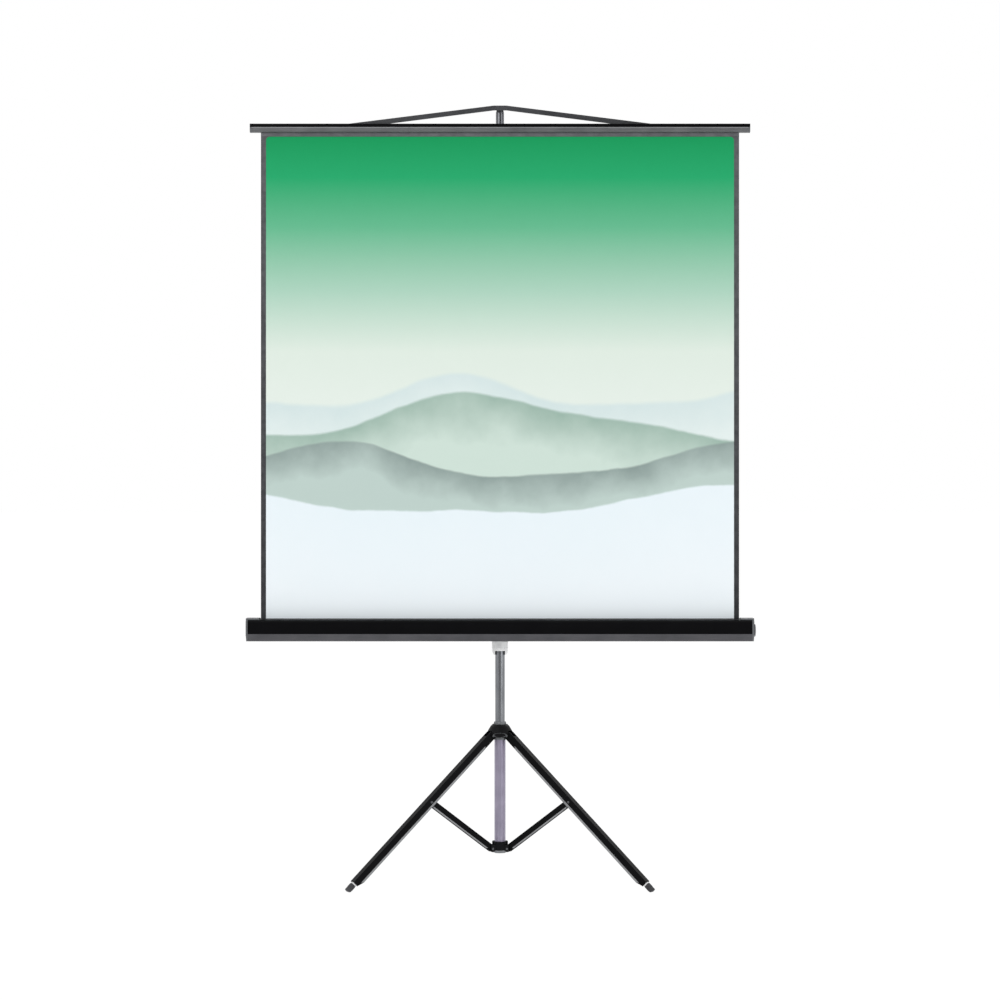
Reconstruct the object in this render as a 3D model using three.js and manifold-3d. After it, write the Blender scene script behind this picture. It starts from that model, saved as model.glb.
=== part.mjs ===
// Tripod projection screen: a roll-up screen on a folding three-legged stand.
// Millimetres, +Z up, the front of the screen faces -Y.
import * as THREE from "three";
import { mergeVertices } from "three/addons/utils/BufferGeometryUtils.js";
import Module from "manifold-3d";

const wasm = await Module();
wasm.setup();

// Clearances and facet counts
const SLIDE_GAP = 0.3;
const SEAT_GAP = 0.3;
const PIN_GAP = 0.15;
const SIDE_GAP = 0.5;
const ROUND = 32;
const FINE_ROUND = 40;
const SMALL_ROUND = 16;
const CUT_OVER = 20;

// Stand: heights and slopes
const LEG_COUNT = 3;
const LEG_SLOPE = THREE.MathUtils.degToRad(42);
const LEG_PIVOT_R = 34;
const LEG_AZIMUTHS = [210, -30, 90];
const LEG_LENGTH = 641;
const LEG_DEPTH = 26;
const LEG_WIDTH = 22;
const LEG_WALL = 1.6;
const LEG_WEB_START = 16;
const STRUT_AT = 291;
const STRUT_DEPTH = 21;
const STRUT_WIDTH = 16;
const STRUT_WALL = 1.6;
const PIN_R = 3;
const FERRULE_LENGTH = 4;
const FERRULE_R = 9.5;
const FERRULE_PLUG = 26;
const FOOT_R = 9.5;
const FOOT_LENGTH = 26;
const FOOT_TIP_RISE = 2.213;
const FOOT_OFFSET = 3.5;
const LEG_CUT = 7;
const LEG_CUT_START = 22;
const LEG_CUT_SLANT = 20;
const HUB_PIN_OVER = 1.5;
const STRUT_PIN_OVER = 1;

// Hub
const HUB_R = 39.5;
const HUB_TOP_R = 24;
const HUB_HEIGHT = 38.5;
const HUB_BELOW_PIVOT = 5.5;
const HUB_SKIRT = 16.5;
const HUB_SHOULDER_R = 34;
const HUB_SHOULDER_DROP = 12;
const HUB_SLOT_OVER = 2;
const CLAMP_RING_HEIGHT = 9;
const CLAMP_RING_WALL = 3.2;

// Lower column and collar
const LOWER_R = 17.5;
const LOWER_WALL = 1.6;
const STOP_RING_R = 22;
const STOP_RING_HEIGHT = 8;
const COLLAR_R = 25;
const COLLAR_HEIGHT = 27;
const COLLAR_PIVOT_R = 32;
const COLLAR_PIVOT_Z = 93;
const COLLAR_BELOW_PIVOT = 6;
const CHEEK_OUT = 6;
const CHEEK_WALL = 3.5;
const CHEEK_DROP = COLLAR_BELOW_PIVOT;
const CHEEK_RISE = 11;
const COLLAR_SLOT_R = 20.2;
const FOOT_PLATE_R = 24.5;
const FOOT_PLATE_HEIGHT = 8;

// Upper column, carriage and extension rod
const MAST_R = 15.2;
const MAST_WALL = 1.4;
const MAST_BOTTOM_Z = 195;
const MAST_TOP_Z = 1367;
const CARRIAGE_R = 25.5;
const CARRIAGE_BOTTOM_Z = 702;
const CARRIAGE_HEIGHT = 166;
const CARRIAGE_NOSE_R = 20.5;
const CARRIAGE_NOSE = 20;
const CARRIAGE_NOSE_BULGE = 1;
const CARRIAGE_NOTCH = 13;
const CARRIAGE_NOSE_STEP = CARRIAGE_NOSE / 3;
const BOSS_WIDTH = 50;
const BOSS_HEIGHT = 80;
const BOSS_FRONT = 27.2;
const EXTENSION_R = 13.2;
const EXTENSION_WALL = 1.4;
const EXTENSION_BOTTOM_Z = 1267;
const LOCK_R = 20;
const LOCK_SKIRT = 28;
const LOCK_CAP = 14;

// Case and roller
const CASE_LENGTH = 1584;
const CASE_HEIGHT = 67;
const CASE_DEPTH = 66;
const CASE_WALL = 2;
const CASE_BACK = 30;
const CASE_BOTTOM_Z = 749;
const CASE_CHAMFER_Y = 16;
const CASE_CHAMFER_Z = 24;
const CASE_TOP_CHAMFER = 6;
const CASE_BACK_CHAMFER = 11;
const SLOT_WIDTH = 12;
const CAP_PLATE = 6;
const CAP_HOOD_LENGTH = 34;
const CAP_HOOD_RISE = 5;
const CAP_HOOD_INSET = 8;
const SPINDLE_R = 19;
const SPINDLE_OUT = 6;
const ROLLER_R = 17;
const ROLLER_WALL = 2;
const ROLLER_END = 14;
const ROLLER_PLUG_LENGTH = 40;
const AXLE_R = 6;
const AXLE_ENGAGE = 24;
const WIND_THICK = 3.2;
const SWIVEL_PLATE_R = 32;
const SWIVEL_PLATE_THICK = 2.2;
const BOLT_R = 6;
const BOLT_HEAD_R = 10;
const BOLT_HEAD = 4.4;

// Fabric, top bar and bail
const FABRIC_INSET = 42;
const FABRIC_THICK = 0.8;
const FABRIC_DROP = 1526.5;
const BAR_INSET = 14;
const BAR_DEPTH = 22;
const BAR_TUBE_HEIGHT = 16;
const BAR_STRIP_HEIGHT = 11;
const BAR_ROUND = 6;
const BAR_CAP = 6;
const BAIL_THICK = 3;
const BAIL_WIDTH = 15;
const BAIL_RISE = 60;
const BAIL_HALF = 500;
const BAIL_FOOT = 70;
const BAIL_FOOT_HEIGHT = 18;
const BAIL_FLAT = 20;
const SOCKET_PLATE = 4;
const SOCKET_WIDTH = 22;
const SOCKET_PLUG = 14;
const SOCKET_BACK = 9;

// Derived heights and places
const footAt = LEG_LENGTH + 2 * SEAT_GAP + FERRULE_LENGTH;
const footDrop = (footAt + FOOT_LENGTH) * Math.sin(LEG_SLOPE) - FOOT_OFFSET * Math.cos(LEG_SLOPE);
const legPivotZ = footDrop + FOOT_TIP_RISE;
const hubBottomZ = legPivotZ - HUB_BELOW_PIVOT;
const hubTopZ = hubBottomZ + HUB_HEIGHT;
const collarBottomZ = COLLAR_PIVOT_Z - COLLAR_BELOW_PIVOT;
const collarTopZ = collarBottomZ + COLLAR_HEIGHT;
const caseTopZ = CASE_BOTTOM_Z + CASE_HEIGHT;
const caseMidZ = CASE_BOTTOM_Z + CASE_HEIGHT / 2;
const caseMidY = -(CASE_BACK + CASE_DEPTH / 2);
const windR = ROLLER_R + SLIDE_GAP + WIND_THICK;
const fabricY = caseMidY + windR + SEAT_GAP + FABRIC_THICK / 2;
const barBottomZ = caseTopZ + FABRIC_DROP;
const barStripZ = barBottomZ + BAR_TUBE_HEIGHT;
const barTopZ = barStripZ + BAR_STRIP_HEIGHT;
const barBackY = fabricY + BAR_DEPTH / 2;
const bailY = barBackY + SEAT_GAP;
const bailTopZ = barTopZ + BAIL_RISE;
const extensionTopZ = bailTopZ - BAIL_WIDTH - SEAT_GAP;
const fabricWidth = CASE_LENGTH - 2 * FABRIC_INSET;
const barLength = CASE_LENGTH - 2 * BAR_INSET;
const footRun = (footAt + FOOT_LENGTH) * Math.cos(LEG_SLOPE) + FOOT_OFFSET * Math.sin(LEG_SLOPE);
const footReach = LEG_PIVOT_R + footRun;
const legAzimuths = LEG_AZIMUTHS.map((a) => THREE.MathUtils.degToRad(a));
const strutPointR = LEG_PIVOT_R + STRUT_AT * Math.cos(LEG_SLOPE);
const strutPointZ = legPivotZ - STRUT_AT * Math.sin(LEG_SLOPE);
const strutLength = Math.hypot(strutPointR - COLLAR_PIVOT_R, strutPointZ - COLLAR_PIVOT_Z);
const strutSlope = Math.atan2(strutPointZ - COLLAR_PIVOT_Z, strutPointR - COLLAR_PIVOT_R);
const standY = -(footReach * (1 - Math.cos(Math.PI / LEG_COUNT))) / 2;

// Finishes
const finish = (color, roughness, metalness) =>
  new THREE.MeshStandardMaterial({ color, roughness, metalness });
const BLACK_STEEL = finish(0x151517, 0.45, 0.3);
const BLACK_CAST = finish(0x121214, 0.5, 0.0);
const PLATED = finish(0xb4b2bb, 0.25, 1.0);
const BRIGHT = finish(0xd8d9dc, 0.2, 1.0);
const GREY = finish(0x74767a, 0.45, 0.2);
const RUBBER = finish(0x3a3b3d, 0.85, 0.0);
const CLOTH = finish(0xe9eee8, 0.9, 0.0);

// Solids
function solidOf(geometry) {
  const bare = geometry.index ? geometry.toNonIndexed() : geometry.clone();
  bare.deleteAttribute("normal");
  bare.deleteAttribute("uv");
  const merged = mergeVertices(bare, 1e-4);
  return new wasm.Manifold(
    new wasm.Mesh({
      numProp: 3,
      vertProperties: new Float32Array(merged.attributes.position.array),
      triVerts: new Uint32Array(merged.index.array),
    }),
  );
}

function geometryOf(solid) {
  const mesh = solid.getMesh();
  const geometry = new THREE.BufferGeometry();
  geometry.setAttribute("position", new THREE.BufferAttribute(new Float32Array(mesh.vertProperties), 3));
  geometry.setIndex(new THREE.BufferAttribute(new Uint32Array(mesh.triVerts), 1));
  geometry.computeVertexNormals();
  return geometry;
}

function block(x0, x1, y0, y1, z0, z1) {
  const box = new THREE.BoxGeometry(x1 - x0, y1 - y0, z1 - z0);
  box.translate((x0 + x1) / 2, (y0 + y1) / 2, (z0 + z1) / 2);
  return solidOf(box);
}

// A turned piece about Z from [radius, height] pairs that close on themselves.
function turned(pairs, segments = ROUND) {
  const points = pairs.map(([r, z]) => new THREE.Vector2(r, z));
  if (pairs[0][0] > 0) points.push(points[0].clone());
  const lathe = new THREE.LatheGeometry(points, segments);
  lathe.rotateX(Math.PI / 2);
  const solid = solidOf(lathe);
  return solid.volume() < 0 ? solidOf(flipped(lathe)) : solid;
}

function flipped(geometry) {
  const turnedOut = geometry.index ? geometry.toNonIndexed() : geometry.clone();
  const a = turnedOut.attributes.position;
  for (let i = 0; i < a.count; i += 3) {
    const p = new THREE.Vector3().fromBufferAttribute(a, i + 1);
    const q = new THREE.Vector3().fromBufferAttribute(a, i + 2);
    a.setXYZ(i + 1, q.x, q.y, q.z);
    a.setXYZ(i + 2, p.x, p.y, p.z);
  }
  return turnedOut;
}

const ring = (inner, outer, z0, z1, segments = ROUND) =>
  turned([[inner, z0], [outer, z0], [outer, z1], [inner, z1]], segments);

const disc = (r, z0, z1, segments = ROUND) =>
  turned([[0, z0], [r, z0], [r, z1], [0, z1]], segments);

const alongX = (solid) => solid.rotate([0, 90, 0]);
const alongY = (solid) => solid.rotate([-90, 0, 0]);

// A flat outline of [u, v] pairs, extruded: u to Y, v to Z and the length to X.
function profileX(outline, length) {
  const shape = new THREE.Shape(outline.map(([u, v]) => new THREE.Vector2(u, v)));
  const bar = new THREE.ExtrudeGeometry(shape, { depth: length, bevelEnabled: false, steps: 1 });
  const turn = new THREE.Matrix4().makeBasis(
    new THREE.Vector3(0, 1, 0),
    new THREE.Vector3(0, 0, 1),
    new THREE.Vector3(1, 0, 0),
  );
  bar.applyMatrix4(turn);
  bar.translate(-length / 2, 0, 0);
  return solidOf(bar);
}

// A flat outline of [x, z] pairs, extruded from y0 to y1.
function plateXZ(outline, y0, y1) {
  const shape = new THREE.Shape(outline.map(([x, z]) => new THREE.Vector2(x, z)));
  const plate = new THREE.ExtrudeGeometry(shape, { depth: y1 - y0, bevelEnabled: false });
  plate.rotateX(Math.PI / 2);
  plate.translate(0, y1, 0);
  return solidOf(plate);
}

// The outline moved inwards by a wall, corner by corner.
function inset(outline, wall) {
  return outline.map((p, i) => {
    const before = outline[(i + outline.length - 1) % outline.length];
    const after = outline[(i + 1) % outline.length];
    const n1 = new THREE.Vector2(before[1] - p[1], p[0] - before[0]).normalize();
    const n2 = new THREE.Vector2(p[1] - after[1], after[0] - p[0]).normalize();
    const mitre = n1.clone().add(n2);
    mitre.multiplyScalar(wall / (1 + n1.dot(n2)));
    return [p[0] + mitre.x, p[1] + mitre.y];
  });
}

const part = new THREE.Group();
const stand = new THREE.Group();
stand.position.y = standY;
part.add(stand);

function put(parent, name, solid, material) {
  const mesh = new THREE.Mesh(geometryOf(solid), material);
  mesh.name = name;
  parent.add(mesh);
  return mesh;
}

// A pressed channel along +X with its web on one side and round, drilled ends.
function channel(length, depth, width, wall, webSide, webStart, webEnd, roundEnd, holes) {
  const half = depth / 2;
  const outline = new THREE.Shape();
  outline.moveTo(0, half);
  outline.absarc(0, 0, half, Math.PI / 2, (3 * Math.PI) / 2, false);
  if (roundEnd) {
    outline.lineTo(length, -half);
    outline.absarc(length, 0, half, -Math.PI / 2, Math.PI / 2, false);
  } else {
    outline.lineTo(length, -half);
    outline.lineTo(length, half);
  }
  outline.closePath();
  const options = { depth: width, bevelEnabled: false, curveSegments: SMALL_ROUND };
  const side = new THREE.ExtrudeGeometry(outline, options);
  side.rotateX(Math.PI / 2);
  side.translate(0, width / 2, 0);
  let solid = solidOf(side);
  const hollow = block(
    -half - CUT_OVER, length + half + CUT_OVER,
    -width / 2 + wall, width / 2 - wall,
    webSide > 0 ? -half - CUT_OVER : -half + wall,
    webSide > 0 ? half - wall : half + CUT_OVER,
  );
  solid = solid.subtract(hollow);
  const webLow = webSide > 0 ? half - wall - SEAT_GAP : -half - CUT_OVER;
  const webHigh = webSide > 0 ? half + CUT_OVER : -half + wall + SEAT_GAP;
  const inside = width / 2 - wall;
  solid = solid.subtract(block(-half - CUT_OVER, webStart, -inside, inside, webLow, webHigh));
  if (webEnd < length) {
    solid = solid.subtract(block(webEnd, length + half + CUT_OVER, -inside, inside, webLow, webHigh));
  }
  for (const [at, r] of holes) {
    const drill = alongY(disc(r, -width, width, SMALL_ROUND)).translate([at, 0, 0]);
    solid = solid.subtract(drill);
  }
  return solid;
}

// Hub: a dome with a slot and a pin bore for each leg
function hubSolid() {
  const bore = MAST_R + SLIDE_GAP;
  let solid = turned([
    [bore, hubBottomZ],
    [HUB_R, hubBottomZ],
    [HUB_R, hubBottomZ + HUB_SKIRT],
    [HUB_SHOULDER_R, hubTopZ - HUB_SHOULDER_DROP],
    [(HUB_SHOULDER_R + HUB_TOP_R) / 2, hubTopZ - HUB_SHOULDER_DROP / 3],
    [HUB_TOP_R, hubTopZ],
    [bore, hubTopZ],
  ], FINE_ROUND);
  const slotHalf = LEG_WIDTH / 2 + SIDE_GAP;
  const slotIn = LEG_PIVOT_R - LEG_DEPTH / 2 - SIDE_GAP;
  const slotTop = legPivotZ + LEG_DEPTH / 2 + HUB_SLOT_OVER;
  for (const azimuth of legAzimuths) {
    const turn = THREE.MathUtils.radToDeg(azimuth);
    const slot = block(
      slotIn, HUB_R + CUT_OVER, -slotHalf, slotHalf, hubBottomZ - CUT_OVER, slotTop,
    );
    const drill = alongY(disc(PIN_R + PIN_GAP, -HUB_R, HUB_R, SMALL_ROUND));
    const bored = drill.translate([LEG_PIVOT_R, 0, legPivotZ]);
    solid = solid.subtract(slot.rotate([0, 0, turn]));
    solid = solid.subtract(bored.rotate([0, 0, turn]));
  }
  return solid;
}

const hubPinHalf = LEG_WIDTH / 2 + SIDE_GAP + CHEEK_WALL + HUB_PIN_OVER;
put(stand, "hub", hubSolid(), BLACK_CAST);
put(
  stand, "clamp_ring",
  ring(
    MAST_R + SLIDE_GAP, MAST_R + SLIDE_GAP + CLAMP_RING_WALL,
    hubTopZ + SEAT_GAP, hubTopZ + SEAT_GAP + CLAMP_RING_HEIGHT,
  ),
  GREY,
);

// Lower column, stop ring, collar with strut forks and foot plate
const stopTopZ = hubBottomZ - SEAT_GAP;
const stopBottomZ = stopTopZ - STOP_RING_HEIGHT;
put(
  stand, "lower_column",
  ring(LOWER_R - LOWER_WALL, LOWER_R, collarBottomZ, stopBottomZ, FINE_ROUND), PLATED,
);
put(
  stand, "stop_ring",
  ring(MAST_R + SLIDE_GAP, STOP_RING_R, stopBottomZ, stopTopZ, FINE_ROUND), GREY,
);

function forkSlots(solid, z0, z1) {
  const slotHalf = STRUT_WIDTH / 2 + SIDE_GAP;
  let cut = solid;
  for (const azimuth of legAzimuths) {
    const slot = block(COLLAR_SLOT_R, COLLAR_PIVOT_R + HUB_R, -slotHalf, slotHalf, z0, z1);
    cut = cut.subtract(slot.rotate([0, 0, THREE.MathUtils.radToDeg(azimuth)]));
  }
  return cut;
}

function collarSolid() {
  let solid = disc(COLLAR_R, collarBottomZ, collarTopZ, FINE_ROUND);
  const cheekHalf = STRUT_WIDTH / 2 + SIDE_GAP + CHEEK_WALL;
  for (const azimuth of legAzimuths) {
    const cheek = block(
      0, COLLAR_PIVOT_R + CHEEK_OUT, -cheekHalf, cheekHalf,
      COLLAR_PIVOT_Z - CHEEK_DROP, COLLAR_PIVOT_Z + CHEEK_RISE,
    );
    solid = solid.add(cheek.rotate([0, 0, THREE.MathUtils.radToDeg(azimuth)]));
  }
  const bore = disc(LOWER_R + PIN_GAP, collarBottomZ - CUT_OVER, collarTopZ + CUT_OVER, FINE_ROUND);
  const bored = solid.subtract(bore);
  return forkSlots(bored, collarBottomZ - CUT_OVER, collarTopZ + CUT_OVER);
}

put(stand, "collar", collarSolid(), BLACK_CAST);
const platePlain = disc(FOOT_PLATE_R, collarBottomZ - FOOT_PLATE_HEIGHT, collarBottomZ, FINE_ROUND);
put(
  stand, "foot_plate",
  forkSlots(platePlain, collarBottomZ - CUT_OVER, collarBottomZ + CUT_OVER), GREY,
);

// Legs with ferrule, rubber foot and pins, and a strut to each
function legSolid() {
  const holeR = PIN_R + PIN_GAP;
  const plain = channel(
    LEG_LENGTH, LEG_DEPTH, LEG_WIDTH, LEG_WALL, 1, LEG_WEB_START, LEG_LENGTH, false,
    [[0, holeR], [STRUT_AT, holeR]],
  );
  const low = -LEG_DEPTH / 2;
  const start = LEG_LENGTH - LEG_CUT_START;
  const corner = [
    [start, low],
    [start, low - CUT_OVER],
    [LEG_LENGTH + CUT_OVER, low - CUT_OVER],
    [LEG_LENGTH + CUT_OVER, low + LEG_CUT],
    [start + LEG_CUT_SLANT, low + LEG_CUT],
  ];
  return plain.subtract(plateXZ(corner, -LEG_WIDTH, LEG_WIDTH));
}

function ferruleSolid() {
  const half = LEG_DEPTH / 2;
  const end = LEG_LENGTH + SEAT_GAP;
  const flange = alongX(disc(FERRULE_R, 0, FERRULE_LENGTH)).translate([end, 0, FOOT_OFFSET]);
  const plugHalf = LEG_WIDTH / 2 - LEG_WALL - SEAT_GAP;
  const plug = block(
    LEG_LENGTH - FERRULE_PLUG, LEG_LENGTH + SEAT_GAP + FERRULE_LENGTH / 2,
    -plugHalf, plugHalf, -half + LEG_CUT + SEAT_GAP, half - LEG_WALL - SEAT_GAP,
  );
  const round = alongX(disc(FERRULE_R, -FERRULE_PLUG, FERRULE_LENGTH));
  const trim = round.translate([end, 0, FOOT_OFFSET]);
  return flange.add(plug.intersect(trim));
}

function footSolid() {
  const sole = block(
    -footReach, 2 * footReach, -FERRULE_R * 2, FERRULE_R * 2, -footReach, 0,
  );
  const tip = alongX(disc(FOOT_R, 0, FOOT_LENGTH, ROUND)).translate([footAt, 0, FOOT_OFFSET]);
  const placed = tip.rotate([0, THREE.MathUtils.radToDeg(LEG_SLOPE), 0]);
  return placed.translate([LEG_PIVOT_R, 0, legPivotZ]).subtract(sole);
}

function strutSolid() {
  const holes = [[0, PIN_R + PIN_GAP]];
  return channel(
    strutLength, STRUT_DEPTH, STRUT_WIDTH, STRUT_WALL, -1,
    STRUT_DEPTH, strutLength - STRUT_DEPTH, true, holes,
  );
}

const pinSolid = (half) => alongY(disc(PIN_R, -half, half, SMALL_ROUND));

["a", "b", "c"].forEach((tag, i) => {
  const wing = new THREE.Group();
  wing.rotation.z = legAzimuths[i];
  stand.add(wing);
  const leg = new THREE.Group();
  leg.position.set(LEG_PIVOT_R, 0, legPivotZ);
  leg.rotation.y = LEG_SLOPE;
  wing.add(leg);
  put(leg, `leg_${tag}`, legSolid(), BLACK_STEEL);
  put(leg, `ferrule_${tag}`, ferruleSolid(), BRIGHT);
  put(leg, `hub_pin_${tag}`, pinSolid(hubPinHalf), BRIGHT);
  const strutPin = put(leg, `strut_pin_${tag}`, pinSolid(LEG_WIDTH / 2 + STRUT_PIN_OVER), BRIGHT);
  strutPin.position.x = STRUT_AT;
  put(wing, `foot_${tag}`, footSolid(), RUBBER);
  const strut = new THREE.Group();
  strut.position.set(strutPointR, 0, strutPointZ);
  strut.rotation.y = Math.PI - strutSlope;
  wing.add(strut);
  put(strut, `strut_${tag}`, strutSolid(), BLACK_STEEL);
});

// Upper column with its carriage
put(stand, "mast", ring(MAST_R - MAST_WALL, MAST_R, MAST_BOTTOM_Z, MAST_TOP_Z, FINE_ROUND), PLATED);

function carriageSolid() {
  const top = CARRIAGE_BOTTOM_Z + CARRIAGE_HEIGHT;
  const noseZ = CARRIAGE_BOTTOM_Z + CARRIAGE_NOSE;
  let solid = turned([
    [0, CARRIAGE_BOTTOM_Z],
    [CARRIAGE_NOSE_R, CARRIAGE_BOTTOM_Z],
    [
      (CARRIAGE_NOSE_R + CARRIAGE_R) / 2 + CARRIAGE_NOSE_BULGE,
      CARRIAGE_BOTTOM_Z + CARRIAGE_NOSE_STEP,
    ],
    [CARRIAGE_R, noseZ],
    [CARRIAGE_R, top],
    [0, top],
  ], FINE_ROUND);
  solid = solid.add(
    block(
      -BOSS_WIDTH / 2, BOSS_WIDTH / 2, -BOSS_FRONT, 0,
      caseMidZ - BOSS_HEIGHT / 2, caseMidZ + BOSS_HEIGHT / 2,
    ),
  );
  solid = solid.subtract(
    disc(MAST_R + PIN_GAP, CARRIAGE_BOTTOM_Z - CUT_OVER, top + CUT_OVER, FINE_ROUND),
  );
  const notchHalf = MAST_R + SIDE_GAP;
  solid = solid.subtract(
    block(
      -notchHalf, notchHalf, -CARRIAGE_R - CUT_OVER, 0,
      CARRIAGE_BOTTOM_Z - CUT_OVER, CARRIAGE_BOTTOM_Z + CARRIAGE_NOTCH,
    ),
  );
  const drill = alongY(disc(BOLT_R + PIN_GAP, 0, CASE_BACK + CUT_OVER, ROUND));
  return solid.subtract(drill.rotate([180, 0, 0]).translate([0, 0, caseMidZ]));
}

put(stand, "carriage", carriageSolid(), BRIGHT);

// Swivel bolt and plate between carriage and case
const boltBack = MAST_R + SEAT_GAP;
const boltFront = CASE_BACK + CASE_WALL + SEAT_GAP;
const boltShank = alongY(disc(BOLT_R, -boltFront - BOLT_HEAD / 2, -boltBack));
const boltHead = alongY(disc(BOLT_HEAD_R, -boltFront - BOLT_HEAD, -boltFront));
put(stand, "swivel_bolt", boltShank.add(boltHead).translate([0, 0, caseMidZ]), BRIGHT);
const swivelPlate = alongY(ring(
  BOLT_R + PIN_GAP, SWIVEL_PLATE_R, -CASE_BACK + SEAT_GAP / 2, -CASE_BACK + SEAT_GAP / 2 + SWIVEL_PLATE_THICK,
));
put(stand, "swivel_plate", swivelPlate.translate([0, 0, caseMidZ]), GREY);

// Extension rod and its twist collar
put(
  stand, "extension",
  ring(EXTENSION_R - EXTENSION_WALL, EXTENSION_R, EXTENSION_BOTTOM_Z, extensionTopZ, FINE_ROUND),
  PLATED,
);
put(
  stand, "lock_collar",
  turned([
    [MAST_R + SLIDE_GAP, MAST_TOP_Z - LOCK_SKIRT],
    [LOCK_R, MAST_TOP_Z - LOCK_SKIRT],
    [LOCK_R, MAST_TOP_Z + LOCK_CAP],
    [EXTENSION_R + SLIDE_GAP, MAST_TOP_Z + LOCK_CAP],
    [EXTENSION_R + SLIDE_GAP, MAST_TOP_Z + SEAT_GAP],
    [MAST_R + SLIDE_GAP, MAST_TOP_Z + SEAT_GAP],
  ]),
  BLACK_CAST,
);

// Case profile with the fabric slot
const halfY = CASE_DEPTH / 2;
const halfZ = CASE_HEIGHT / 2;
const slotFront = fabricY - caseMidY - SLOT_WIDTH / 2;
const slotBack = slotFront + SLOT_WIDTH;
const caseOutline = [
  [slotFront, halfZ],
  [-halfY + CASE_TOP_CHAMFER, halfZ],
  [-halfY, halfZ - CASE_TOP_CHAMFER],
  [-halfY, -halfZ + CASE_CHAMFER_Z],
  [-halfY + CASE_CHAMFER_Y, -halfZ],
  [halfY - CASE_BACK_CHAMFER, -halfZ],
  [halfY, -halfZ + CASE_BACK_CHAMFER],
  [halfY, halfZ],
  [slotBack, halfZ],
];
const caseInner = inset(caseOutline, CASE_WALL);
caseInner[0] = [slotFront, halfZ - CASE_WALL];
caseInner[caseInner.length - 1] = [slotBack, halfZ - CASE_WALL];
const caseRing = [...caseOutline, ...caseInner.reverse()];
const boltHole = alongY(disc(BOLT_R + 2 * PIN_GAP, -CUT_OVER, CUT_OVER)).translate([0, halfY, 0]);
const caseShell = profileX(caseRing, CASE_LENGTH - 2 * CAP_PLATE).subtract(boltHole);
put(stand, "case_shell", caseShell.translate([0, caseMidY, caseMidZ]), BLACK_STEEL);

function capSolid(side, spindle) {
  const inner = CASE_LENGTH / 2 - CAP_PLATE;
  const outline = caseOutline.slice(1, -1);
  const plate = profileX(outline, CAP_PLATE).translate([CASE_LENGTH / 2 - CAP_PLATE / 2, 0, 0]);
  const hood = block(
    inner - CAP_HOOD_LENGTH, CASE_LENGTH / 2, -halfY + CASE_TOP_CHAMFER, halfY - CAP_HOOD_INSET,
    halfZ + SEAT_GAP / 2, halfZ + SEAT_GAP / 2 + CAP_HOOD_RISE,
  );
  const bridge = block(
    inner + SEAT_GAP, CASE_LENGTH / 2, -halfY + CASE_TOP_CHAMFER, halfY - CAP_HOOD_INSET,
    halfZ - CAP_PLATE, halfZ + CAP_HOOD_RISE,
  );
  const axleIn = inner - ROLLER_END - AXLE_ENGAGE;
  const axle = alongX(disc(AXLE_R, axleIn, CASE_LENGTH / 2 - CAP_PLATE / 2));
  let solid = plate.add(hood).add(bridge).add(axle);
  if (spindle) {
    const bulge = alongX(disc(SPINDLE_R, CASE_LENGTH / 2 - CAP_PLATE / 2, CASE_LENGTH / 2 + SPINDLE_OUT));
    solid = solid.add(bulge);
  }
  if (side < 0) solid = solid.mirror([1, 0, 0]);
  return solid.translate([0, caseMidY, caseMidZ]);
}

put(stand, "case_cap_l", capSolid(-1, false), GREY);
put(stand, "case_cap_r", capSolid(1, true), GREY);

// Roller with its end plugs and the fabric wound on it
const rollerHalf = CASE_LENGTH / 2 - CAP_PLATE - ROLLER_END;
const onRoller = (solid) => alongX(solid).translate([0, caseMidY, caseMidZ]);
put(
  stand, "roller_tube",
  onRoller(ring(ROLLER_R - ROLLER_WALL, ROLLER_R, -rollerHalf, rollerHalf)), PLATED,
);
for (const [tag, side] of [["l", -1], ["r", 1]]) {
  const z0 = side > 0 ? rollerHalf - ROLLER_PLUG_LENGTH : -rollerHalf;
  const plug = ring(AXLE_R + PIN_GAP, ROLLER_R - ROLLER_WALL - PIN_GAP, z0, z0 + ROLLER_PLUG_LENGTH);
  put(stand, `roller_plug_${tag}`, onRoller(plug), BLACK_CAST);
}
put(
  stand, "fabric_wind",
  onRoller(ring(ROLLER_R + SLIDE_GAP, windR, -fabricWidth / 2, fabricWidth / 2)), CLOTH,
);

// Fabric, from the roller up through the slot to the bar
put(
  stand, "fabric",
  block(
    -fabricWidth / 2, fabricWidth / 2,
    fabricY - FABRIC_THICK / 2, fabricY + FABRIC_THICK / 2,
    caseMidZ, barBottomZ - SEAT_GAP,
  ),
  CLOTH,
);

// Top bar: round-bottomed grey tube, black top strip and end caps
function barOutline(grow, z0, z1, roundLow) {
  const half = BAR_DEPTH / 2 + grow;
  const low = roundLow ? BAR_ROUND : 0;
  const high = roundLow ? 0 : BAR_ROUND / 2;
  const points = [];
  const corner = (cy, cz, r, from) => {
    for (let k = 0; k <= 4; k += 1) {
      const a = from + (k * Math.PI) / 8;
      points.push([cy + r * Math.cos(a), cz + r * Math.sin(a)]);
    }
  };
  if (high) {
    corner(half - high, z1 - high, high, 0);
    corner(-half + high, z1 - high, high, Math.PI / 2);
  } else {
    points.push([half, z1], [-half, z1]);
  }
  if (low) {
    corner(-half + low, z0 + low, low, Math.PI);
    corner(half - low, z0 + low, low, (3 * Math.PI) / 2);
  } else {
    points.push([-half, z0], [half, z0]);
  }
  return points;
}

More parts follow.
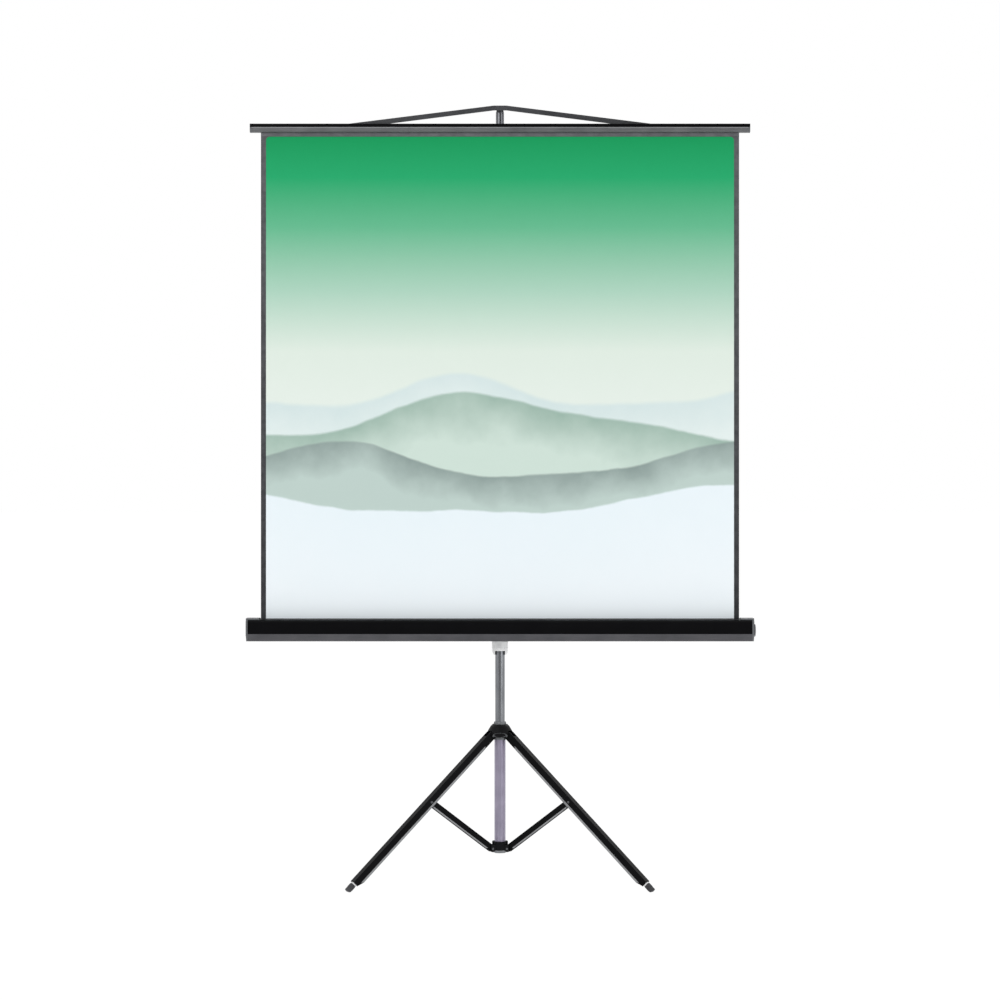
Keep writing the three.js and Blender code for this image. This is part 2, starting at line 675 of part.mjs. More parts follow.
const barAt = (solid) => solid.translate([0, fabricY, 0]);
put(
  stand, "bar_tube",
  barAt(profileX(barOutline(0, barBottomZ, barStripZ, true), barLength)), GREY,
);
put(
  stand, "bar_strip",
  barAt(profileX(barOutline(0, barStripZ, barTopZ, false), barLength + 2 * BAR_CAP)), BLACK_STEEL,
);
for (const [tag, side] of [["l", -1], ["r", 1]]) {
  const at = side * (barLength / 2 + BAR_CAP / 2);
  const low = profileX(barOutline(0, barBottomZ, barStripZ, true), BAR_CAP);
  put(stand, `bar_cap_${tag}`, barAt(low).translate([at, 0, 0]), GREY);
}

// Bail: one flat bow with a foot at each end, behind the bar
function bailSolid() {
  const footLow = barTopZ - BAIL_FOOT_HEIGHT;
  const upper = [
    [-BAIL_HALF, barTopZ],
    [-BAIL_FLAT, bailTopZ],
    [BAIL_FLAT, bailTopZ],
    [BAIL_HALF, barTopZ],
  ];
  const inner = BAIL_HALF - BAIL_FOOT * 2;
  const outline = [
    [-BAIL_HALF, footLow],
    [-BAIL_HALF + BAIL_FOOT, footLow],
    [-inner, barTopZ + (BAIL_RISE * (BAIL_HALF - inner)) / BAIL_HALF - BAIL_WIDTH],
    [-BAIL_FLAT, bailTopZ - BAIL_WIDTH],
    [BAIL_FLAT, bailTopZ - BAIL_WIDTH],
    [inner, barTopZ + (BAIL_RISE * (BAIL_HALF - inner)) / BAIL_HALF - BAIL_WIDTH],
    [BAIL_HALF - BAIL_FOOT, footLow],
    [BAIL_HALF, footLow],
    ...upper.reverse(),
  ];
  const bow = plateXZ(outline, bailY, bailY + BAIL_THICK);
  const plate = block(
    -SOCKET_WIDTH / 2, SOCKET_WIDTH / 2, bailY, SOCKET_BACK,
    extensionTopZ + SEAT_GAP, extensionTopZ + SEAT_GAP + SOCKET_PLATE,
  );
  const plugR = EXTENSION_R - EXTENSION_WALL - SLIDE_GAP;
  const plug = disc(plugR, extensionTopZ - SOCKET_PLUG, extensionTopZ + SEAT_GAP + SOCKET_PLATE / 2);
  return bow.add(plate).add(plug);
}

put(stand, "bail", bailSolid(), GREY);

export default part;
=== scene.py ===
"""Looks of a tripod projection screen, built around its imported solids."""

from __future__ import annotations

import logging
import math
from contextlib import contextmanager
from dataclasses import dataclass, field
from enum import Enum
from typing import Iterable, Iterator, Sequence

import bpy
from mathutils import Matrix, Vector

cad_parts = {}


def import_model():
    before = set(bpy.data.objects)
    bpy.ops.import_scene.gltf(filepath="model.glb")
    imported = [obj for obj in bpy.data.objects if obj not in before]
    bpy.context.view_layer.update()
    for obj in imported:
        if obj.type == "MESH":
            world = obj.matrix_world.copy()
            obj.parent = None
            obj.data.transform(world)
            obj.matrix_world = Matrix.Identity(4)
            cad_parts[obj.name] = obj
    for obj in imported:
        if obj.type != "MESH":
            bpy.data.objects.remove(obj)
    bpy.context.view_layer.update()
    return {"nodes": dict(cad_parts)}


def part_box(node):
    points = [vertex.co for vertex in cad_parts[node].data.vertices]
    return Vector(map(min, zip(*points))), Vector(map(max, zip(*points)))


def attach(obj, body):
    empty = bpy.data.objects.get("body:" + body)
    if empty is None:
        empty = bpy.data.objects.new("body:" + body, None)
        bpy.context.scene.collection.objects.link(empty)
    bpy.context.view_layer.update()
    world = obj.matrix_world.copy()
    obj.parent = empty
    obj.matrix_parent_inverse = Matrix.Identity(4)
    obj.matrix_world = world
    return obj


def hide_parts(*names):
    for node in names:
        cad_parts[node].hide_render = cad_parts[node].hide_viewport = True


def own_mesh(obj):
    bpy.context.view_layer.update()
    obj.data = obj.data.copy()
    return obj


Colour = tuple[int, int, int]
Place = tuple[float, float, float]
Pair = tuple[float, float]
Piece = bpy.types.Object
Socket = bpy.types.NodeSocket
Material = bpy.types.Material

LOG = logging.getLogger("projection_screen")
MM = 0.001
SMOOTH_ANGLE = math.radians(35)
FULL: Pair = (0.0, 1.0)
NOISE_SPAN: Pair = (0.3, 0.7)
CLOTH_SPECULAR = 0.25
BUMP_DEPTH = 0.0002
HEAD_RIM = 0.2
HEAD_STEPS = 5
HEAD_SIDES = 20
HEAD_ANGLE = math.radians(82)
RIB_BLUNT = 0.5
RIB_SIDES = 8
WIRE_SIDES = 8


def linear(value: int) -> float:
    """Turn a display value from 0 to 255 into a scene-linear one."""
    share = value / 255
    return share / 12.92 if share <= 0.04045 else ((share + 0.055) / 1.055) ** 2.4


class Way(Enum):
    """The direction that a drawn or brushed finish runs in."""

    NONE = (1.0, 1.0, 1.0)
    ALONG_X = (0.02, 1.0, 1.0)
    ALONG_Z = (1.0, 1.0, 0.02)


class Tag(Enum):
    """The three legs, with the direction that each points in, in degrees."""

    A = 210.0
    B = -30.0
    C = 90.0

    @property
    def low(self) -> str:
        """The letter that the leg's nodes and bodies end in."""
        return self.name.lower()


class Tree:
    """A small hand for laying out the nodes of a material or of the world."""

    def __init__(self, owner: Material | bpy.types.World) -> None:
        """Start with an empty tree.

        Args:
            owner: What the nodes belong to.
        """
        self.owner = owner
        owner.use_nodes = True
        self.nodes = owner.node_tree.nodes
        self.links = owner.node_tree.links
        self.nodes.clear()

    @classmethod
    def of_material(cls, name: str) -> Tree:
        """Start a new material."""
        return cls(bpy.data.materials.new(name))

    def add(self, kind: str, settings: dict | None = None, **inputs: object) -> bpy.types.Node:
        """Add a node.

        Args:
            kind: The node's type name.
            settings: Properties to set on it.
            **inputs: Values or sockets by input name, with _ for a space, or i0, i1 by number.

        Returns:
            The node.
        """
        node = self.nodes.new(kind)
        for key, value in (settings or {}).items():
            setattr(node, key, value)
        for key, value in inputs.items():
            numbered = key[0] == "i" and key[1:].isdigit()
            socket = node.inputs[int(key[1:]) if numbered else key.replace("_", " ")]
            if isinstance(value, Socket):
                self.links.new(value, socket)
            else:
                socket.default_value = value
        return node

    def math(self, operation: str, *terms: object) -> Socket:
        """One sum on up to three numbers or sockets."""
        inputs = {f"i{k}": term for k, term in enumerate(terms)}
        return self.add("ShaderNodeMath", {"operation": operation}, **inputs).outputs[0]

    def seen(self) -> Socket:
        """Tell what is looked at from what only lights the room.

        Returns:
            A socket that is 1 on rays from the camera, a mirror or glass, and 0 on others.
        """
        rays = self.add("ShaderNodeLightPath").outputs
        shown = self.math("MAXIMUM", rays["Is Camera Ray"], rays["Is Glossy Ray"])
        return self.math("MAXIMUM", shown, rays["Is Transmission Ray"])

    def span(self, value: object, start: Pair, end: Pair, smooth: bool = False) -> Socket:
        """Map a range of values on to another.

        Args:
            value: The socket to map.
            start: The range that it has.
            end: What the range becomes.
            smooth: Whether it eases in and out.

        Returns:
            The mapped socket.
        """
        kind = "SMOOTHSTEP" if smooth else "LINEAR"
        node = self.add("ShaderNodeMapRange", {"interpolation_type": kind}, Value=value,
                        From_Min=start[0], From_Max=start[1], To_Min=end[0], To_Max=end[1])
        return node.outputs[0]

    def ramp(self, value: object, stops: Sequence[float], colours: Sequence[Colour]) -> Socket:
        """Colours along a value.

        Args:
            value: The socket that picks the colour.
            stops: Values from 0 to 1.
            colours: Each stop's colour, in display values.

        Returns:
            The colour socket.
        """
        node = self.add("ShaderNodeValToRGB", Fac=value)
        elements = node.color_ramp.elements
        while len(elements) < len(stops):
            elements.new(0.5)
        for element, stop, colour in zip(elements, stops, colours):
            element.position = stop
            element.color = (*map(linear, colour), 1.0)
        return node.outputs[0]

    def mix(self, share: object, first: object, second: object) -> Socket:
        """Mix two colours, with a share of the second."""
        node = self.add("ShaderNodeMix", {"data_type": "RGBA"}, i0=share, i6=first, i7=second)
        return node.outputs[2]

    def noise(self, vector: object, scale: float, detail: float = 3.0) -> Socket:
        """A soft random value, as fine as the scale and with some octaves of detail."""
        node = self.add("ShaderNodeTexNoise", Vector=vector, Scale=scale, Detail=detail)
        return node.outputs[0]

    def close(self, **inputs: object) -> Material:
        """Finish the material with one shader.

        Args:
            **inputs: The shader's inputs.

        Returns:
            The material.
        """
        shader = self.add("ShaderNodeBsdfPrincipled", **inputs)
        self.add("ShaderNodeOutputMaterial", Surface=shader.outputs[0])
        return self.owner


@dataclass(frozen=True)
class Finish:
    """A hard finish with a grain, smudges and a fine bump."""

    name: str
    tone: Colour
    worn: Colour
    rough: Pair
    metallic: float = 0.0
    grain: float = 900.0
    grain_share: float = 0.4
    smudge: Pair = (14.0, 5.0)
    stops: Pair = (0.3, 0.6)
    bump: float = 0.08
    coat: float = 0.0
    specular: float = 0.5
    way: Way = Way.NONE

    def make(self) -> Material:
        """Build the finish.

        Returns:
            Its material.
        """
        tree = Tree.of_material(self.name)
        place = tree.add("ShaderNodeTexCoord").outputs["Object"]
        drawn = tree.add("ShaderNodeMapping", Vector=place, Scale=self.way.value).outputs[0]
        grain = tree.noise(drawn, self.grain)
        smudge = tree.math("MULTIPLY", tree.noise(place, *self.smudge), 1 - self.grain_share)
        both = tree.math("MULTIPLY_ADD", grain, self.grain_share, smudge)
        colour = tree.ramp(both, self.stops, (self.worn, self.tone))
        rough = tree.span(both, NOISE_SPAN, self.rough)
        bump = tree.add("ShaderNodeBump", Strength=self.bump, Distance=BUMP_DEPTH, Height=grain)
        return tree.close(Base_Color=colour, Roughness=rough, Normal=bump.outputs[0],
                          Metallic=self.metallic, Coat_Weight=self.coat,
                          Specular_IOR_Level=self.specular)


@dataclass(frozen=True)
class Ridge:
    """One line of soft hills across the picture."""

    height: float
    waves: tuple[tuple[float, float, float], ...]
    soft: float
    crest: Colour
    foot: Colour
    fade: float


@dataclass(frozen=True)
class PictureCloth:
    """The screen's front: a matt weave, a dark border and a plain landscape of hills."""

    name: str = "screen_front"
    width: float = 1.5
    length: float = 1.5597
    side: float = 0.016
    top: float = 0.0125
    corner: float = 0.012
    blur: float = 0.0004
    weave: float = 260.0
    bump: float = 0.06
    grain: float = 300.0
    rough: Pair = (0.82, 0.94)
    mottle: Pair = (9.0, 6.0)
    ragged: float = 0.012
    drift: float = 0.08
    border: Colour = (60, 61, 64)
    border_worn: Colour = (44, 45, 48)
    # The border's head colours are lighter than its foot colours: painted light on the upper border
    # and painted shade at its foot.
    border_lit_head: Colour = (98, 99, 102)
    border_lit_head_worn: Colour = (82, 83, 86)
    border_grain: float = 60.0
    sky_stops: tuple[float, ...] = (0.30, 0.56, 0.68, 0.81, 0.91, 1.00)
    sky: tuple[Colour, ...] = ((236, 242, 238), (222, 234, 224), (172, 210, 190),
                               (100, 184, 142), (34, 166, 106), (12, 150, 86))
    ridges: tuple[Ridge, ...] = (
        Ridge(0.475, ((9.0, 4.1, 0.030), (17.0, 0.9, 0.010)), 0.006,
              (204, 222, 222), (230, 240, 238), 0.14),
        Ridge(0.425, ((6.3, 4.9, 0.042), (14.0, 2.4, 0.010)), 0.004,
              (134, 166, 152), (206, 224, 214), 0.13),
        Ridge(0.335, ((7.4, 0.5, 0.034), (15.0, 5.1, 0.008)), 0.003,
              (112, 128, 126), (190, 208, 202), 0.10),
        Ridge(0.255, ((5.2, 2.5, 0.026), (12.0, 3.0, 0.008)), 0.003,
              (232, 243, 248), (240, 247, 251), 0.22),
    )

    def picture(self, tree: Tree, across: object, up: object, place: object) -> Socket:
        """Lay sky and hills over each other.

        Args:
            tree: The material's tree.
            across: The sheet's own coordinate from side to side.
            up: The sheet's own coordinate from foot to head.
            place: Object coordinates, for the fine mottling.

        Returns:
            The picture's colour socket.
        """
        colour = tree.ramp(up, self.sky_stops, self.sky)
        mottle = tree.noise(place, *self.mottle)
        for ridge in self.ridges:
            line: object = ridge.height
            for pace, start, rise in ridge.waves:
                swing = tree.math("SINE", tree.math("MULTIPLY_ADD", across, pace, start))
                line = tree.math("MULTIPLY_ADD", swing, rise, line)
            below = tree.math("SUBTRACT", line, up)
            rough_below = tree.math("MULTIPLY_ADD", mottle, self.ragged, below)
            mask = tree.span(rough_below, (0.0, 2 * ridge.soft), FULL, True)
            drifted = tree.math("MULTIPLY_ADD", mottle, self.drift, below)
            sink = tree.span(drifted, (0.0, ridge.fade), FULL)
            colour = tree.mix(mask, colour, tree.ramp(sink, FULL, (ridge.crest, ridge.foot)))
        return colour

    def inside(self, tree: Tree, across: object, up: object) -> Socket:
        """Find the picture's field, with round corners at its head.

        Args:
            tree: The material's tree.
            across: The sheet's own coordinate from side to side.
            up: The sheet's own coordinate from foot to head.

        Returns:
            A socket that is 1 in the field and 0 on the border.
        """
        reach = self.width / 2 - self.side - self.corner
        head = self.length - self.top - self.corner
        centred = tree.math("ABSOLUTE", tree.math("SUBTRACT", across, 0.5))
        x_over = tree.math("MULTIPLY_ADD", centred, self.width, -reach)
        z_over = tree.math("MULTIPLY_ADD", up, self.length, -head)
        x_out = tree.math("MAXIMUM", x_over, 0.0)
        z_out = tree.math("MAXIMUM", z_over, 0.0)
        squared = tree.math("MULTIPLY_ADD", x_out, x_out, tree.math("MULTIPLY", z_out, z_out))
        edge = tree.math("SUBTRACT", tree.math("SQRT", squared), self.corner)
        return tree.span(edge, (-self.blur, self.blur), (1.0, 0.0))

    def make(self) -> Material:
        """Build the cloth.

        Returns:
            Its material.
        """
        tree = Tree.of_material(self.name)
        coords = tree.add("ShaderNodeTexCoord")
        place = coords.outputs["Object"]
        split = tree.add("ShaderNodeSeparateXYZ", Vector=coords.outputs["UV"])
        across, up = split.outputs[0], split.outputs[1]
        picture = self.picture(tree, across, up, place)
        dust = tree.noise(place, self.border_grain)
        foot = tree.ramp(dust, NOISE_SPAN, (self.border_worn, self.border))
        head = tree.ramp(dust, NOISE_SPAN, (self.border_lit_head_worn, self.border_lit_head))
        # Blend the border from foot to head: painted shading, darker low and lighter high, as the
        # light falls.
        rim = tree.mix(up, foot, head)
        colour = tree.mix(self.inside(tree, across, up), rim, picture)
        bump = weave_bump(tree, place, self.weave, self.bump)
        rough = tree.span(tree.noise(place, self.grain), NOISE_SPAN, self.rough)
        return tree.close(Base_Color=colour, Roughness=rough, Normal=bump,
                          Specular_IOR_Level=CLOTH_SPECULAR)


@dataclass(frozen=True)
class PlainCloth:
    """A one-coloured woven cloth."""

    name: str
    tone: Colour
    worn: Colour
    weave: float = 260.0
    bump: float = 0.12
    mottle: Pair = (40.0, 5.0)
    rough: Pair = (0.8, 0.95)

    def make(self) -> Material:
        """Build the cloth.

        Returns:
            Its material.
        """
        tree = Tree.of_material(self.name)
        place = tree.add("ShaderNodeTexCoord").outputs["Object"]
        mottle = tree.noise(place, *self.mottle)
        colour = tree.ramp(mottle, NOISE_SPAN, (self.worn, self.tone))
        rough = tree.span(mottle, NOISE_SPAN, self.rough)
        return tree.close(Base_Color=colour, Roughness=rough,
                          Normal=weave_bump(tree, place, self.weave, self.bump),
                          Specular_IOR_Level=CLOTH_SPECULAR)


def weave_bump(tree: Tree, place: object, scale: float, strength: float) -> Socket:
    """Cross two sets of threads into a bump.

    Args:
        tree: The material's tree.
        place: Object coordinates.
        scale: Threads to the metre, about.
        strength: The bump's strength.

    Returns:
        The normal's socket.
    """
    warp = tree.add("ShaderNodeTexWave", {"bands_direction": "X"}, Vector=place, Scale=scale)
    weft = tree.add("ShaderNodeTexWave", {"bands_direction": "Z"}, Vector=place, Scale=scale)
    crossed = tree.math("MULTIPLY", warp.outputs["Fac"], weft.outputs["Fac"])
    bump = tree.add("ShaderNodeBump", Strength=strength, Distance=BUMP_DEPTH, Height=crossed)
    return bump.outputs[0]


class Coat(Enum):
    """Every finish on the screen."""

    BLACK_PAINT = Finish("black_paint", (9, 9, 11), (14, 14, 16), (0.30, 0.42),
                         grain=1400.0, bump=0.10, specular=0.06)
    BLACK_CAST = Finish("black_moulding", (10, 10, 12), (16, 16, 18), (0.42, 0.58),
                        grain=1100.0, bump=0.16, specular=0.12)
    GREY_SATIN = Finish("grey_satin", (132, 134, 137), (106, 108, 111), (0.36, 0.5),
                        metallic=0.35, grain=700.0, way=Way.ALONG_X)
    BAIL_STEEL = Finish("bail_steel", (70, 71, 74), (52, 53, 56), (0.38, 0.52),
                        metallic=0.3, grain=700.0, way=Way.ALONG_X)
    PLATED = Finish("plated_tube", (134, 136, 140), (104, 106, 110), (0.16, 0.28),
                    metallic=1.0, grain=500.0, bump=0.05, way=Way.ALONG_Z)
    LOWER_TUBE = Finish("lower_tube", (160, 153, 173), (134, 128, 148), (0.3, 0.42),
                        metallic=0.45, grain=500.0, bump=0.05, way=Way.ALONG_Z)
    ROD = Finish("dark_rod", (112, 113, 117), (84, 85, 89), (0.18, 0.3),
                 metallic=1.0, grain=500.0, bump=0.05, way=Way.ALONG_Z)
    BRIGHT = Finish("bright_plating", (206, 207, 210), (176, 177, 181), (0.18, 0.3),
                    metallic=0.9, grain=600.0, bump=0.04)
    RIVET = Finish("dull_rivet", (96, 97, 100), (70, 71, 74), (0.3, 0.46),
                   metallic=0.6, grain=800.0, bump=0.06)
    PALE_RING = Finish("pale_ferrule", (236, 236, 236), (210, 211, 212), (0.25, 0.38),
                       grain=800.0, bump=0.06)
    WHITE_SLEEVE = Finish("white_sleeve", (250, 250, 250), (236, 237, 239), (0.18, 0.32),
                          grain=600.0, bump=0.05, coat=0.4)
    GREY_PLASTIC = Finish("grey_moulding", (96, 98, 101), (74, 76, 79), (0.4, 0.55),
                          grain=1000.0, bump=0.14)
    BAR_GREY = Finish("bar_satin", (104, 105, 107), (84, 85, 88), (0.36, 0.5),
                      metallic=0.2, grain=700.0, way=Way.ALONG_X)
    BAR_LINE = Finish("bar_line", (134, 135, 137), (112, 113, 116), (0.4, 0.55),
                      metallic=0.1, grain=700.0, way=Way.ALONG_X)
    DRAWN = Finish("drawn_tube", (190, 190, 192), (160, 160, 163), (0.28, 0.4),
                   metallic=1.0, grain=600.0, way=Way.ALONG_X)
    BAND = Finish("case_band", (82, 82, 86), (62, 62, 66), (0.32, 0.46),
                  metallic=0.3, grain=800.0, way=Way.ALONG_X)
    # The flange edges' grey is a painted reflection of the floor on the black legs and struts.
    EDGE = Finish("painted_reflection_edge", (152, 153, 155), (118, 119, 122), (0.32, 0.46),
                  metallic=0.2, grain=900.0)
    RUBBER = Finish("foot_rubber", (56, 56, 59), (70, 70, 73), (0.7, 0.88),
                    grain=1300.0, bump=0.22)
    PILE = PlainCloth("slot_pile", (30, 30, 32), (20, 20, 22), 900.0, 0.5)
    FRONT = PictureCloth()
    BACK = PlainCloth("screen_back", (44, 45, 47), (34, 35, 37))
    HEM = PlainCloth("screen_hem", (108, 109, 112), (90, 91, 94))
    ROLL = PlainCloth("screen_roll", (232, 236, 232), (216, 221, 217))

    def material(self) -> Material:
        """The finish's material, made once."""
        found = bpy.data.materials.get(self.value.name)
        return found or self.value.make()


class Bench:
    """Modelling moves shared by all the pieces."""

    @staticmethod
    def clear() -> None:
        """Leave edit mode and drop the selection."""
        if bpy.context.object and bpy.context.object.mode != "OBJECT":
            bpy.ops.object.mode_set(mode="OBJECT")
        bpy.ops.object.select_all(action="DESELECT")

    @staticmethod
    def pick(piece: Piece) -> None:
        """Select one piece alone and make it active.

        Args:
            piece: The piece.
        """
        Bench.clear()
        piece.select_set(True)
        bpy.context.view_layer.objects.active = piece

    @staticmethod
    def named(name: str) -> Piece:
        """Name the piece that was just added and put its place into its mesh.

        Args:
            name: Its name.

        Returns:
            The piece.
        """
        piece = bpy.context.object
        piece.name = name
        piece.data.name = name
        bpy.ops.object.transform_apply(location=True, rotation=True, scale=True)
        return piece

    @staticmethod
    def smooth(piece: Piece) -> None:
        """Shade a piece smooth up to a plain angle."""
        Bench.pick(piece)
        bpy.ops.object.shade_smooth_by_angle(angle=SMOOTH_ANGLE)

    @staticmethod
    @contextmanager
    def editing() -> Iterator[None]:
        """Edit the active piece, with all of it selected."""
        bpy.ops.object.mode_set(mode="EDIT")
        bpy.ops.mesh.select_all(action="SELECT")
        yield
        bpy.ops.object.mode_set(mode="OBJECT")

    @staticmethod
    def bar(name: str, x: Pair, y: Pair, z: Pair, edge: float, steps: int = 2) -> Piece:
        """A bar with round edges.

        Args:
            name: The piece's name.
            x: Where it starts and ends along X.
            y: The same along Y.
            z: The same along Z.
            edge: How far the edges are rounded.
            steps: Faces in each round.

        Returns:
            The piece.
        """
        Bench.clear()
        middle = [(a + b) / 2 for a, b in (x, y, z)]
        size = [b - a for a, b in (x, y, z)]
        bpy.ops.mesh.primitive_cube_add(size=1, location=middle, scale=size)
        piece = Bench.named(name)
        with Bench.editing():
            bpy.ops.mesh.bevel(offset=edge, segments=steps, affect="EDGES")
        Bench.smooth(piece)
        return piece

    @staticmethod
    def turned(name: str, pairs: Sequence[Pair], sides: int) -> Piece:
        """A closed turned piece that stands on the origin along +Z.

        Args:
            name: The piece's name.
            pairs: Radius and height, from the foot up.
            sides: Faces around it.

        Returns:
            The piece.
        """
        Bench.clear()
        first, rise = pairs[0]
        bpy.ops.mesh.primitive_circle_add(vertices=sides, radius=first, fill_type="NGON",
                                          location=(0, 0, rise))
        piece = Bench.named(name)
        with Bench.editing():
            for (r0, z0), (r1, z1) in zip(pairs, pairs[1:]):
                move = {"value": (0, 0, z1 - z0)}
                bpy.ops.mesh.extrude_region_move(TRANSFORM_OT_translate=move)
                share = r1 / r0
                bpy.ops.transform.resize(value=(share, share, 1), center_override=(0, 0, z1))
            bpy.ops.mesh.select_all(action="SELECT")
            bpy.ops.mesh.normals_make_consistent(inside=False)
        Bench.smooth(piece)
        return piece

    @staticmethod
    def hoop(name: str, radius: float, wire: float, sides: int = 40) -> Piece:
        """A ring bead about Z at the origin.

        Args:
            name: The piece's name.
            radius: To the middle of the bead.
            wire: The bead's own radius.
            sides: Faces around the ring.

        Returns:
            The piece.
        """
        Bench.clear()
        bpy.ops.mesh.primitive_torus_add(major_radius=radius, minor_radius=wire,
                                         major_segments=sides, minor_segments=WIRE_SIDES)
        piece = Bench.named(name)
        Bench.smooth(piece)
        return piece

    @staticmethod
    def moved(piece: Piece, place: Matrix) -> Piece:
        """Put a piece somewhere, with the place in its mesh.

        Args:
            piece: The piece.
            place: Where it goes, from where it is.

        Returns:
            The piece.
        """
        piece.data.transform(place)
        piece.data.update()
        return piece

    @staticmethod
    def row(model: Piece, name: str, places: Iterable[Matrix]) -> Piece:
        """Copy a model to many places, each copy with its own mesh, and join the copies.

        Args:
            model: What repeats.
            name: The joined piece's name.
            places: Where each copy goes.

        Returns:
            The joined piece.
        """
        copies = []
        for place in places:
            copy = model.copy()
            copy.data = model.data.copy()
            bpy.context.scene.collection.objects.link(copy)
            copies.append(Bench.moved(copy, place))
        bpy.data.objects.remove(model)
        return Bench.joined(copies, name)

    @staticmethod
    def joined(parts: Sequence[Piece], name: str) -> Piece:
        """Join two or more pieces into one.

        Args:
            parts: The pieces.
            name: The joined piece's name.

        Returns:
            The joined piece.
        """
        Bench.pick(parts[0])
        for part in parts:
            part.select_set(True)
        bpy.ops.object.join()
        piece = bpy.context.object
        piece.name = name
        piece.data.name = name
        return piece

    @staticmethod
    def dress(piece: Piece, *coats: Coat) -> None:
        """Give a piece its finishes.

        Args:
            piece: The piece.
            *coats: One finish for each material slot.
        """
        piece.data.materials.clear()
        for coat in coats:
            piece.data.materials.append(coat.material())

    @staticmethod
    def carry(piece: Piece, body: str, slot: str) -> Piece:
        """Let a piece ride on a body.

        Args:
            piece: The piece.
            body: The body that carries it.
            slot: Not used.

        Returns:
            The piece.
        """
        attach(piece, body)
        LOG.info("%s rides on %s", piece.name, body)
        return piece

    @staticmethod
    def mount(piece: Piece, body: str, slot: str, coat: Coat) -> Piece:
        """Dress a piece in one finish and let it ride on a body."""
        Bench.dress(piece, coat)
        return Bench.carry(piece, body, slot)

    @staticmethod
    def thicken(piece: Piece, thick: float, back: int = 0) -> None:
        """Give a sheet its thickness, half to each side.

        Args:
            piece: The sheet.
            thick: Its thickness.
            back: How many material slots further on its back and rim are.
        """
        Bench.pick(piece)
        wall = piece.modifiers.new("wall", "SOLIDIFY")
        wall.thickness = thick
        wall.offset = 0
        wall.material_offset = back
        wall.material_offset_rim = back
        bpy.ops.object.modifier_apply(modifier=wall.name)
        Bench.smooth(piece)


def middle_of(node: str) -> Vector:
    """The middle of a CAD node's box."""
    low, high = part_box(node)
    return (low + high) / 2


def shift(x: float, y: float, z: float) -> Matrix:
    """A plain move."""
    return Matrix.Translation((x, y, z))


def turn(degrees: float, axis: str) -> Matrix:
    """A turn about one axis through the origin."""
    return Matrix.Rotation(math.radians(degrees), 4, axis)


def rivet_head(name: str, radius: float, height: float) -> Piece:
    """A low dome with a thin rim, standing along +Z.

    Args:
        name: The piece's name.
        radius: The head's radius.
        height: The head's height.

    Returns:
        The head.
    """
    pairs = [(radius, 0.0), (radius, HEAD_RIM * height)]
    for k in range(1, HEAD_STEPS + 1):
        angle = k / HEAD_STEPS * HEAD_ANGLE
        rise = HEAD_RIM + (1 - HEAD_RIM) * math.sin(angle)
        pairs.append((radius * math.cos(angle), height * rise))
    return Bench.turned(name, pairs, HEAD_SIDES)


@dataclass(frozen=True)
class Grip:
    """A ring of straight ribs: its radius, how many there are and how thick."""

    radius: float
    count: int
    wire: float

    def make(self, name: str, axis: Matrix, tall: float) -> Piece:
        """Stand the ribs round an axis.

        Args:
            name: The piece's name.
            axis: From +Z at the origin to the ring's axis.
            tall: The ribs' length.

        Returns:
            The ribs as one piece.
        """
        wire, blunt = self.wire, RIB_BLUNT * self.wire
        pairs = [(blunt, 0), (wire, wire), (wire, tall - wire), (blunt, tall)]
        model = Bench.turned("rib", pairs, RIB_SIDES)
        step = 360 / self.count
        places = [axis @ turn(step * k, "Z") @ shift(self.radius, 0, 0) for k in range(self.count)]
        return Bench.row(model, name, places)


